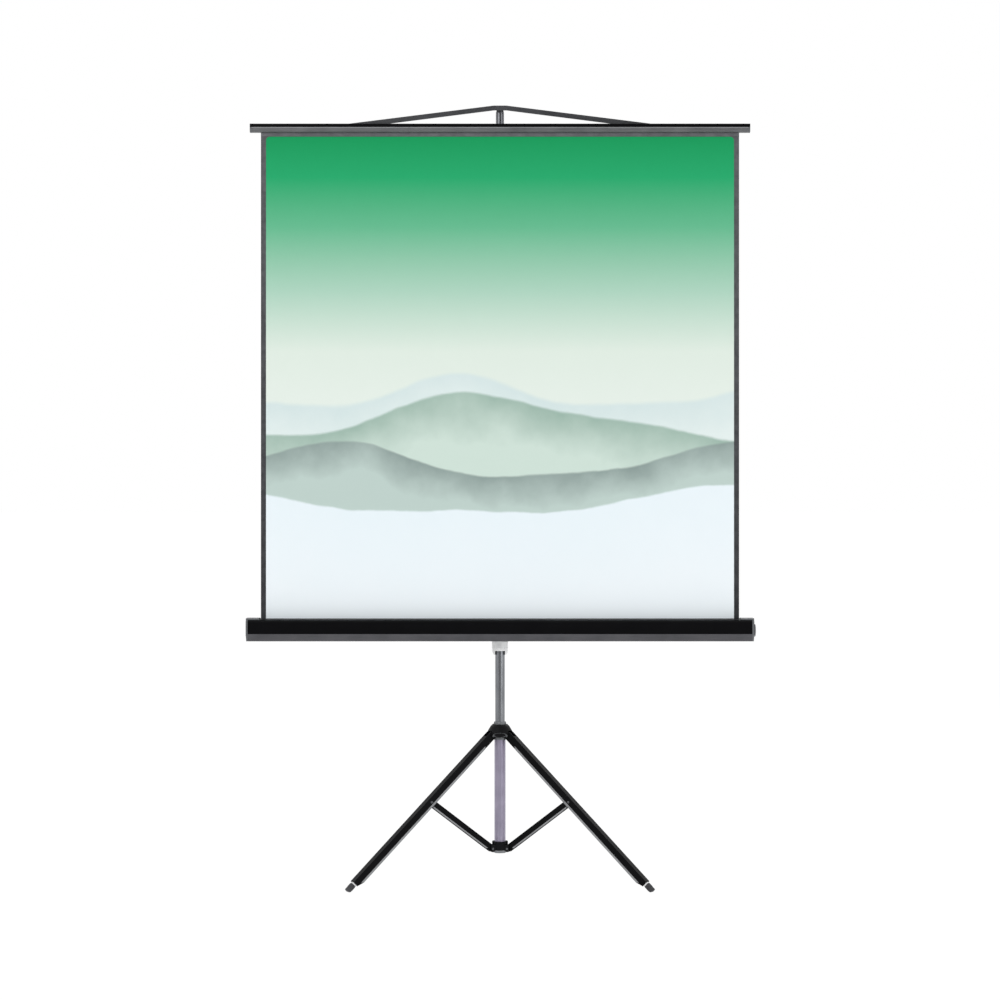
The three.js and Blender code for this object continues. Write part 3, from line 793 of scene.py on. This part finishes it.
@dataclass
class Stand:
    """The folding legs, their struts, the hub and the collar."""

    slope: float = 42.0
    pivot_r: float = 34 * MM
    pivot_z: float = 449 * MM
    leg_length: float = 641 * MM
    leg_half: Pair = (11 * MM, 13 * MM)
    strut_at: float = 291 * MM
    strut_half: Pair = (8 * MM, 10.5 * MM)
    collar_r: float = 32 * MM
    collar_z: float = 93 * MM
    collar_out: float = 12 * MM
    hub_r: float = 39.5 * MM
    hub_sink: float = 0.8 * MM
    hub_bead: Pair = (23.6 * MM, 1.1 * MM)
    oval: Pair = (20 * MM, 6.5 * MM)
    oval_wire: float = 1.0 * MM
    oval_lift: float = 1.5 * MM
    oval_sides: int = 56
    clamp: Grip = Grip(18.7 * MM, 40, 0.55 * MM)
    grip_margin: float = 1.2 * MM
    foot_r: float = 9.5 * MM
    foot_offset: float = 3.5 * MM
    foot_ribs: tuple[float, ...] = (649.0 * MM, 652.5 * MM, 656.0 * MM, 659.5 * MM)
    foot_wire: float = 0.9 * MM
    lip: float = 0.35 * MM
    lip_tall: Pair = (6.4 * MM, 4.0 * MM)
    leg_lip_ends: Pair = (40 * MM, 16.5 * MM)
    strut_lip_ends: Pair = (14 * MM, 16 * MM)
    lip_round: float = 0.7
    lip_steps: int = 3
    head: Pair = (4.0 * MM, 2.0 * MM)
    axis_y: float = field(init=False)

    def __post_init__(self) -> None:
        """Find the column's axis."""
        self.axis_y = middle_of("mast").y

    def wing(self, tag: Tag) -> Matrix:
        """From a leg's own upright plane to the row frame."""
        return shift(0, self.axis_y, 0) @ turn(tag.value, "Z")

    def leg_frame(self, tag: Tag) -> Matrix:
        """From along the leg, at its pivot, to the row frame."""
        return self.wing(tag) @ shift(self.pivot_r, 0, self.pivot_z) @ turn(self.slope, "Y")

    def strut_ends(self) -> tuple[Vector, Vector]:
        """Find the strut's ends in the leg's plane.

        Returns:
            The end at the leg and the end at the collar.
        """
        slope = math.radians(self.slope)
        at_leg = Vector((self.pivot_r + self.strut_at * math.cos(slope), 0,
                         self.pivot_z - self.strut_at * math.sin(slope)))
        return at_leg, Vector((self.collar_r, 0, self.collar_z))

    def strut_frame(self, tag: Tag) -> Matrix:
        """Find a strut's own frame.

        Args:
            tag: Its leg.

        Returns:
            From along the strut, at its leg end, to the row frame.
        """
        at_leg, at_collar = self.strut_ends()
        rise = math.degrees(math.atan2(at_leg.z - at_collar.z, at_leg.x - at_collar.x))
        return self.wing(tag) @ Matrix.Translation(at_leg) @ turn(180 - rise, "Y")

    def lips(self, name: str, start: float, end: float, half: Pair, low: float,
             tall: float) -> Piece:
        """The folded edges of a channel's two flanges, cut slantwise at both ends, in a pale grey
        that is a painted reflection of the floor on the black flanges.

        Args:
            name: The piece's name.
            start: Where they start along the channel.
            end: Where they end.
            half: Half the channel's width and depth.
            low: -1 or 1, the side that the channel is open on.
            tall: How far they reach up the flange.

        Returns:
            Both edges as one piece.
        """
        rim = low * (half[1] + self.lip)
        reach = low * (half[1] - tall)
        rails = []
        for side in (-1, 1):
            y = sorted((side * (half[0] + self.lip), side * (half[0] - 2 * self.lip)))
            rail = Bench.bar(f"{name}_{side}", (start, end), y, sorted((rim, reach)),
                             self.lip_round * self.lip, self.lip_steps)
            for vertex in rail.data.vertices:
                inward = tall if vertex.co.x < (start + end) / 2 else -tall
                vertex.co.x += inward * (vertex.co.z - reach) / (rim - reach)
            rails.append(rail)
        return Bench.joined(rails, name)

    def heads(self, name: str, out: float, place: Matrix) -> Piece:
        """Two rivet heads, facing away from each other along Y.

        Args:
            name: The piece's name.
            out: How far from the middle each sits.
            place: Where the pair goes.

        Returns:
            The pair as one piece.
        """
        model = rivet_head("head", *self.head)
        sides = [place @ shift(0, side * out, 0) @ turn(-90 * side, "X") for side in (-1, 1)]
        return Bench.row(model, name, sides)

    def build(self) -> None:
        """Make and mount what the stand carries."""
        for tag in Tag:
            self.build_leg(tag)
            self.build_strut(tag)
        self.build_hub()
        self.build_rim_highlight()
        self.build_grip("clamp_grip", "clamp_ring", self.clamp, "grey_metal", Coat.GREY_SATIN)
        self.build_collar()

    def build_leg(self, tag: Tag) -> None:
        """Make one leg's flange edges in painted-reflection grey, and its rivet heads and foot ribs.

        Args:
            tag: The leg.
        """
        body = f"leg_{tag.low}"
        place = self.leg_frame(tag)
        start, short = self.leg_lip_ends
        lips = self.lips(f"leg_lips_{tag.low}", start, self.leg_length - short, self.leg_half, -1,
                         self.lip_tall[0])
        Bench.mount(Bench.moved(lips, place), body, "black_steel", Coat.EDGE)
        heads = self.heads(f"strut_rivets_{tag.low}", self.leg_half[0],
                           place @ shift(self.strut_at, 0, 0))
        Bench.mount(heads, body, "bright", Coat.RIVET)
        model = Bench.hoop("rib", self.foot_r, self.foot_wire)
        places = [place @ shift(x, 0, self.foot_offset) @ turn(90, "Y") for x in self.foot_ribs]
        Bench.mount(Bench.row(model, f"foot_ribs_{tag.low}", places), body, "rubber", Coat.RUBBER)

    def build_strut(self, tag: Tag) -> None:
        """Make one strut's flange edges in painted-reflection grey.

        Args:
            tag: The strut's leg.
        """
        at_leg, at_collar = self.strut_ends()
        start, short = self.strut_lip_ends
        lips = self.lips(f"strut_lips_{tag.low}", start, (at_leg - at_collar).length - short,
                         self.strut_half, 1, self.lip_tall[1])
        Bench.moved(lips, self.strut_frame(tag))
        Bench.mount(lips, f"strut_{tag.low}", "black_steel", Coat.EDGE)

    def build_hub(self) -> None:
        """Make the hub's rivet heads and its moulded shoulder bead."""
        out = math.sqrt(self.hub_r ** 2 - self.pivot_r ** 2) - self.hub_sink
        for tag in Tag:
            at = self.wing(tag) @ shift(self.pivot_r, 0, self.pivot_z)
            heads = self.heads(f"hub_rivets_{tag.low}", out, at)
            Bench.mount(heads, "hub", "bright", Coat.RIVET)
        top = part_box("hub")[1].z
        bead = Bench.moved(Bench.hoop("hub_bead", *self.hub_bead), shift(0, self.axis_y, top))
        Bench.mount(bead, "hub", "hub_black", Coat.BLACK_CAST)

    def build_grip(self, name: str, node: str, grip: Grip, slot: str, coat: Coat) -> None:
        """Make upright grip ribs round a turning ring.

        Args:
            name: The piece's name.
            node: The ring's node and body.
            grip: The ribs.
            slot: The record's material slot.
            coat: The finish.
        """
        low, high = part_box(node)
        axis = shift(0, self.axis_y, low.z + self.grip_margin)
        ribs = grip.make(name, axis, high.z - low.z - 2 * self.grip_margin)
        Bench.mount(ribs, node, slot, coat)

    def build_rim_highlight(self) -> None:
        """Make a thin grey oval bead curved round the front of the hub: a painted rim highlight."""
        wide, tall = self.oval
        oval = Bench.hoop("hub_rim_highlight", wide, self.oval_wire, self.oval_sides)
        Bench.moved(oval, turn(90, "X") @ Matrix.Diagonal((1, tall / wide, 1, 1)))
        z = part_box("hub")[0].z + tall + self.oval_lift
        for vertex in oval.data.vertices:
            curve = math.sqrt(self.hub_r ** 2 - vertex.co.x ** 2)
            vertex.co.y += self.axis_y - curve
            vertex.co.z += z
        Bench.mount(oval, "hub", "grey_metal", Coat.GREY_SATIN)

    def build_collar(self) -> None:
        """Make the collar's rivet heads."""
        for tag in Tag:
            at = self.wing(tag) @ shift(self.collar_r, 0, self.collar_z)
            heads = self.heads(f"collar_rivets_{tag.low}", self.collar_out, at)
            Bench.mount(heads, "spider", "bright", Coat.RIVET)


@dataclass
class Column:
    """The rings on the mast's carriage and the lock collar's grip."""

    stand: Stand
    ring: Pair = (25.5 * MM, 0.9 * MM)
    ring_sides: int = 48
    ring_ends: Pair = (22 * MM, 3 * MM)
    lock: Grip = Grip(20 * MM, 24, 1.1 * MM)

    def build(self) -> None:
        """Make and mount what the column carries."""
        low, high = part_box("carriage")
        up, down = self.ring_ends
        model = Bench.hoop("ring", *self.ring, self.ring_sides)
        places = [shift(0, self.stand.axis_y, z) for z in (low.z + up, high.z - down)]
        rings = Bench.row(model, "carriage_rings", places)
        Bench.mount(rings, "mast", "bright", Coat.WHITE_SLEEVE)
        self.stand.build_grip("lock_grip", "lock_collar", self.lock, "hub_black", Coat.BLACK_CAST)


@dataclass
class Case:
    """The roller case: its trim, slot pile, screws and the wound cloth."""

    chamfer: Pair = (16 * MM, 24 * MM)
    band: float = 0.5 * MM
    band_margin: float = 0.6 * MM
    band_round: float = 0.2 * MM
    lip: Pair = (5 * MM, 1.0 * MM)
    lip_round: float = 0.4 * MM
    slot_half: float = 6 * MM
    pile: Pair = (3.6 * MM, 4.5 * MM)
    pile_sink: float = 2 * MM
    pile_round: float = 1.0 * MM
    cap: float = 6 * MM
    screw: Pair = (4.2 * MM, 1.6 * MM)
    screw_at: Pair = (21 * MM, 14 * MM)
    screw_turn: float = 40.0
    groove: Place = (6 * MM, 0.5 * MM, 0.9 * MM)
    groove_top: float = 3 * MM
    groove_round: float = 0.1 * MM
    spindle: Grip = Grip(19 * MM, 36, 0.6 * MM)
    spindle_out: float = 6.5 * MM
    spindle_tall: float = 5 * MM
    cloth: float = 0.45 * MM
    turns: int = 4
    turn_steps: int = 48
    roll_r: Pair = (17.6 * MM, 20.1 * MM)
    low: Vector = field(init=False)
    high: Vector = field(init=False)
    middle: Vector = field(init=False)
    ends: Pair = field(init=False)
    slot_y: float = field(init=False)

    def __post_init__(self) -> None:
        """Find the shell and its slot."""
        self.low, self.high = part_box("case_shell")
        self.ends = (self.low.x, self.high.x)
        self.middle = middle_of("case_shell")
        self.slot_y = middle_of("fabric").y

    def build(self) -> None:
        """Make and mount what the case carries."""
        self.build_band()
        self.build_lip()
        self.build_pile()
        self.build_screws()
        self.build_spindle()
        self.build_roll()

    def build_band(self) -> None:
        """Make the grey strip on the lower front slope."""
        run, rise = self.chamfer
        top = math.hypot(run, rise) - self.band_margin
        band = Bench.bar("case_band", self.ends, (-self.band, 0), (self.band_margin, top),
                         self.band_round)
        lean = math.degrees(math.atan2(run, rise))
        place = shift(0, self.low.y + run, self.low.z) @ turn(lean, "X")
        Bench.mount(Bench.moved(band, place), "case", "grey_metal", Coat.BAND)

    def build_lip(self) -> None:
        """Make the pale edge along the front of the case's top."""
        wide, tall = self.lip
        back = self.slot_y - self.slot_half
        top = (self.high.z, self.high.z + tall)
        lip = Bench.bar("case_lip", self.ends, (back - wide, back), top, self.lip_round, 3)
        Bench.mount(lip, "case", "grey_metal", Coat.BAND)

    def build_pile(self) -> None:
        """Make the two pile strips that close the slot on the cloth."""
        wide, tall = self.pile
        foot = self.high.z - self.pile_sink
        strips = []
        for side in (-1, 1):
            edge = self.slot_y + side * self.slot_half
            y = sorted((edge, edge - side * wide))
            strips.append(Bench.bar(f"pile_{side}", self.ends, y, (foot, foot + tall),
                                    self.pile_round))
        Bench.mount(Bench.joined(strips, "slot_pile"), "case", "hub_black", Coat.PILE)

    def slotted_head(self) -> Piece:
        """A screw's head, with its slot cut.

        Returns:
            The head, standing along +Z.
        """
        long, wide, floor = self.groove
        head = rivet_head("screw", *self.screw)
        cut = Bench.bar("cut", (-long, long), (-wide, wide), (floor, self.groove_top),
                        self.groove_round)
        Bench.pick(head)
        carve = head.modifiers.new("slot", "BOOLEAN")
        carve.operation = "DIFFERENCE"
        carve.object = cut
        bpy.ops.object.modifier_apply(modifier=carve.name)
        bpy.data.objects.remove(cut)
        return head

    def build_screws(self) -> None:
        """Make two slotted screws on each end cap."""
        along, up = self.screw_at
        for side, letter in ((-1, "l"), (1, "r")):
            facing = turn(90 * side, "Y") @ turn(self.screw_turn, "Z")
            face = side * (self.high.x + self.cap)
            places = [shift(face, self.middle.y + way * along, self.middle.z + way * up) @ facing
                      for way in (-1, 1)]
            screws = Bench.row(self.slotted_head(), f"cap_screws_{letter}", places)
            Bench.mount(screws, "case", "bright", Coat.BRIGHT)

    def build_spindle(self) -> None:
        """Make the fine ribs round the spindle boss."""
        out = shift(self.high.x + self.spindle_out, self.middle.y, self.middle.z)
        ribs = self.spindle.make("spindle_ribs", out @ turn(90, "Y"), self.spindle_tall)
        Bench.mount(ribs, "case", "grey_plastic", Coat.GREY_PLASTIC)

    def build_roll(self) -> None:
        """Wind the spare cloth on the roller, as one spiral sheet."""
        low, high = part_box("fabric_wind")
        wide = high.x - low.x
        steps = self.turn_steps * self.turns
        inner, outer = self.roll_r
        points = []
        for k in range(steps + 1):
            angle = 2 * math.pi * self.turns * k / steps
            radius = inner + (outer - inner) * k / steps
            points.append((low.x, self.middle.y + radius * math.cos(angle),
                           self.middle.z - radius * math.sin(angle)))
        mesh = bpy.data.meshes.new("cloth_roll")
        mesh.from_pydata(points, [(k, k + 1) for k in range(steps)], [])
        roll = bpy.data.objects.new("cloth_roll", mesh)
        bpy.context.scene.collection.objects.link(roll)
        Bench.pick(roll)
        with Bench.editing():
            bpy.ops.mesh.extrude_region_move(TRANSFORM_OT_translate={"value": (wide, 0, 0)})
        Bench.thicken(roll, self.cloth)
        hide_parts("fabric_wind")
        Bench.mount(roll, "roller", "cloth", Coat.ROLL)


@dataclass
class Screen:
    """The cloth, its hem, and the bar and bail that it hangs from."""

    thick: float = 0.5 * MM
    grid: tuple[int, int] = (40, 80)
    travel: float = 0.99
    ripple: float = 0.5 * MM
    ripples: tuple[float, float, float, float] = (9.0, 1.3, 0.4, 23.0)
    hem_tall: float = 11.5 * MM
    hem_gap: float = 1.2 * MM
    hem: Pair = (0.3 * MM, 0.15 * MM)
    seam: Pair = (0.55 * MM, 0.3 * MM)
    seam_half: float = 0.5 * MM
    seam_up: float = 3 * MM
    bead_y: Pair = (-0.8 * MM, 0.4 * MM)
    bead_z: Pair = (-3.4 * MM, -0.2 * MM)
    bead_round: float = 0.5 * MM
    bolt: Pair = (5.2 * MM, 2.6 * MM)
    bolt_x: Pair = (448 * MM, 480 * MM)
    bolt_back: float = 3.3 * MM
    bolt_down: float = 9 * MM
    low: Vector = field(init=False)
    high: Vector = field(init=False)
    middle: Vector = field(init=False)

    def __post_init__(self) -> None:
        """Find the cloth."""
        self.low, self.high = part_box("fabric")
        self.middle = middle_of("fabric")

    def build(self) -> None:
        """Make and mount the cloth and what the top bar carries."""
        self.build_cloth(self.build_hem())
        self.build_bar()
        self.build_bail()

    def build_cloth(self, hem: Piece) -> None:
        """Make the taut sheet, with its picture on the front and a dark back.

        Args:
            hem: Not used.
        """
        wide, tall = self.high.x - self.low.x, self.high.z - self.low.z
        columns, rows = self.grid
        Bench.clear()
        bpy.ops.mesh.primitive_grid_add(x_subdivisions=columns, y_subdivisions=rows, size=1,
                                        location=self.middle, rotation=(math.radians(90), 0, 0))
        bpy.context.object.scale = (wide, tall, 1)
        cloth = Bench.named("screen_cloth")
        pace, start, fine, fine_pace = self.ripples
        for vertex in cloth.data.vertices:
            across = (vertex.co.x - self.middle.x) / wide
            up = (vertex.co.z - self.low.z) / tall
            wave = math.sin(pace * across + start) * math.sin(math.pi * up)
            wave += fine * math.sin(fine_pace * across)
            vertex.co.y += self.ripple * wave * up * (1 - up) * 2
        Bench.dress(cloth, Coat.FRONT, Coat.BACK)
        Bench.thicken(cloth, self.thick, 1)
        Bench.carry(cloth, "case", "cloth")
        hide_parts("fabric")
        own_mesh(cloth)

    def build_hem(self) -> Piece:
        """Make the doubled edge that holds the cloth in the bar.

        Returns:
            The hem with its seams.
        """
        foot = self.high.z - self.hem_tall
        seam_z = foot + self.seam_up
        rows = (("hem", *self.hem, (foot, self.high.z)),
                ("seam", *self.seam, (seam_z - self.seam_half, seam_z + self.seam_half)))
        strips = []
        for side in (-1, 1):
            y = self.middle.y + side * self.hem_gap
            for kind, half, edge, z in rows:
                strips.append(Bench.bar(f"{kind}_{side}", (self.low.x, self.high.x),
                                        (y - half, y + half), z, edge))
        return Bench.mount(Bench.joined(strips, "top_hem"), "top_bar", "cloth", Coat.HEM)

    def build_bar(self) -> None:
        """Make the pale bead where the bar's strip meets its tube."""
        low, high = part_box("bar_tube")
        y = [low.y + y for y in self.bead_y]
        z = [high.z + z for z in self.bead_z]
        bead = Bench.bar("bar_bead", (low.x, high.x), y, z, self.bead_round, 3)
        Bench.mount(bead, "top_bar", "bar_grey", Coat.BAR_LINE)

    def build_bail(self) -> None:
        """Make the bail's bolts, two through each foot."""
        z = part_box("bar_strip")[1].z - self.bolt_down
        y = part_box("bar_tube")[1].y + self.bolt_back
        model = rivet_head("bolt", *self.bolt)
        places = [shift(side * x, y, z) @ turn(-90, "X") for side in (-1, 1) for x in self.bolt_x]
        Bench.mount(Bench.row(model, "bail_bolts", places), "top_bar", "bright", Coat.BRIGHT)


COAT_NODES: dict[Coat, tuple[str, ...]] = {
    Coat.BLACK_CAST: ("hub", "collar", "lock_collar", "roller_plug"),
    Coat.BLACK_PAINT: ("case_shell", "bar_strip", "leg", "strut"),
    Coat.GREY_SATIN: ("clamp_ring", "stop_ring", "foot_plate", "swivel_plate"),
    Coat.GREY_PLASTIC: ("case_cap", "bar_cap"),
    Coat.BRIGHT: ("swivel_bolt", "hub_pin", "strut_pin"),
    Coat.LOWER_TUBE: ("lower_column",),
    Coat.PLATED: ("mast",),
    Coat.ROD: ("extension",),
    Coat.WHITE_SLEEVE: ("carriage",),
    Coat.DRAWN: ("roller_tube",),
    Coat.ROLL: ("fabric",),
    Coat.BAR_GREY: ("bar_tube",),
    Coat.BAIL_STEEL: ("bail",),
    Coat.PALE_RING: ("ferrule",),
    Coat.RUBBER: ("foot",),
}


def dress_nodes(nodes: dict[str, Piece]) -> None:
    """Give every CAD node its finish, by the longest name that it starts with.

    Args:
        nodes: The CAD objects by name.
    """
    coats = {start: coat for coat, starts in COAT_NODES.items() for start in starts}
    for name, node in nodes.items():
        start = max((start for start in coats if name.startswith(start)), key=len)
        Bench.dress(node, coats[start])


@dataclass(frozen=True)
class Lamp:
    """A soft lamp: where it hangs, what it points at, its power in watts and its width."""

    name: str
    at: Place
    to: Place
    power: float
    size: float = 4.0

    def hang(self) -> None:
        """Hang the lamp."""
        data = bpy.data.lights.new(self.name, "AREA")
        data.energy = self.power
        data.size = self.size
        lamp = bpy.data.objects.new(self.name, data)
        lamp.location = self.at
        lamp.rotation_euler = (Vector(self.to) - Vector(self.at)).to_track_quat("-Z", "Y").to_euler()
        bpy.context.scene.collection.objects.link(lamp)


@dataclass
class Studio:
    """The floor, the light and the camera."""

    floor: float = 400.0
    floor_tone: float = 0.9
    floor_glow: float = 1.08
    floor_share: float = 0.86
    card: float = 14.0
    card_at: Place = (0.0, -9.0, 4.0)
    card_tone: tuple[float, float, float] = (0.03, 0.03, 0.035)
    camera_at: Place = (0.0, -7.175, 1.19)
    focal_px: float = 2231.0
    image_px: float = 1000.0
    sensor: float = 36.0
    sky: float = 0.62
    lamps: tuple[Lamp, ...] = (
        Lamp("key", (-3.4, -6.0, 4.6), (0, 0, 1.3), 160.0),
        Lamp("fill", (4.6, -5.2, 1.9), (0, 0, 0.9), 85.0),
        Lamp("back", (0.6, 5.0, 4.2), (0, 0, 1.0), 110.0),
    )

    def build(self) -> None:
        """Set the stage."""
        self.build_floor()
        self.build_card()
        self.build_world()
        for lamp in self.lamps:
            lamp.hang()
        self.build_camera()
        bpy.context.scene.view_settings.view_transform = "Standard"

    def build_floor(self) -> None:
        """Lay a pale floor that shows white and keeps a faint shadow."""
        Bench.clear()
        bpy.ops.mesh.primitive_plane_add(size=self.floor)
        floor = Bench.named("floor")
        tree = Tree.of_material("pale_floor")
        plain = tree.add("ShaderNodeBsdfDiffuse", Color=(*[self.floor_tone] * 3, 1))
        lit = tree.add("ShaderNodeEmission", Color=(1, 1, 1, 1), Strength=self.floor_glow)
        share = tree.math("MULTIPLY", tree.seen(), self.floor_share)
        both = tree.add("ShaderNodeMixShader", i0=share, i1=plain.outputs[0], i2=lit.outputs[0])
        tree.add("ShaderNodeOutputMaterial", Surface=both.outputs[0])
        floor.data.materials.append(tree.owner)

    def build_card(self) -> None:
        """Stand a dark card behind the camera, for the plated tubes to reflect."""
        Bench.clear()
        bpy.ops.mesh.primitive_plane_add(size=self.card, location=self.card_at,
                                         rotation=(math.radians(90), 0, 0))
        card = Bench.named("card")
        tree = Tree.of_material("dark_card")
        shade = tree.add("ShaderNodeBsdfDiffuse", Color=(*self.card_tone, 1))
        tree.add("ShaderNodeOutputMaterial", Surface=shade.outputs[0])
        card.data.materials.append(tree.owner)
        for ray in ("camera", "diffuse", "shadow", "transmission", "volume_scatter"):
            setattr(card, f"visible_{ray}", False)

    def build_world(self) -> None:
        """Fill the room with plain soft light, white where it is seen."""
        world = bpy.data.worlds.new("studio")
        bpy.context.scene.world = world
        tree = Tree(world)
        level = tree.span(tree.seen(), FULL, (self.sky, 1.0))
        glow = tree.add("ShaderNodeBackground", Color=(1, 1, 1, 1), Strength=level)
        tree.add("ShaderNodeOutputWorld", Surface=glow.outputs[0])

    def build_camera(self) -> None:
        """Stand the camera level and straight in front."""
        data = bpy.data.cameras.new("camera")
        data.sensor_width = self.sensor
        data.lens = self.focal_px / self.image_px * self.sensor
        camera = bpy.data.objects.new("camera", data)
        camera.location = self.camera_at
        camera.rotation_euler = (math.radians(90), 0, 0)
        bpy.context.scene.collection.objects.link(camera)
        bpy.context.scene.camera = camera


def main() -> None:
    """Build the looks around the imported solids."""
    logging.basicConfig(level=logging.INFO, format="%(message)s")
    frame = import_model()
    Studio().build()
    dress_nodes(frame["nodes"])
    stand = Stand()
    for assembly in (stand, Column(stand), Case(), Screen()):
        assembly.build()
    Bench.clear()


if __name__ == "__main__":
    main()
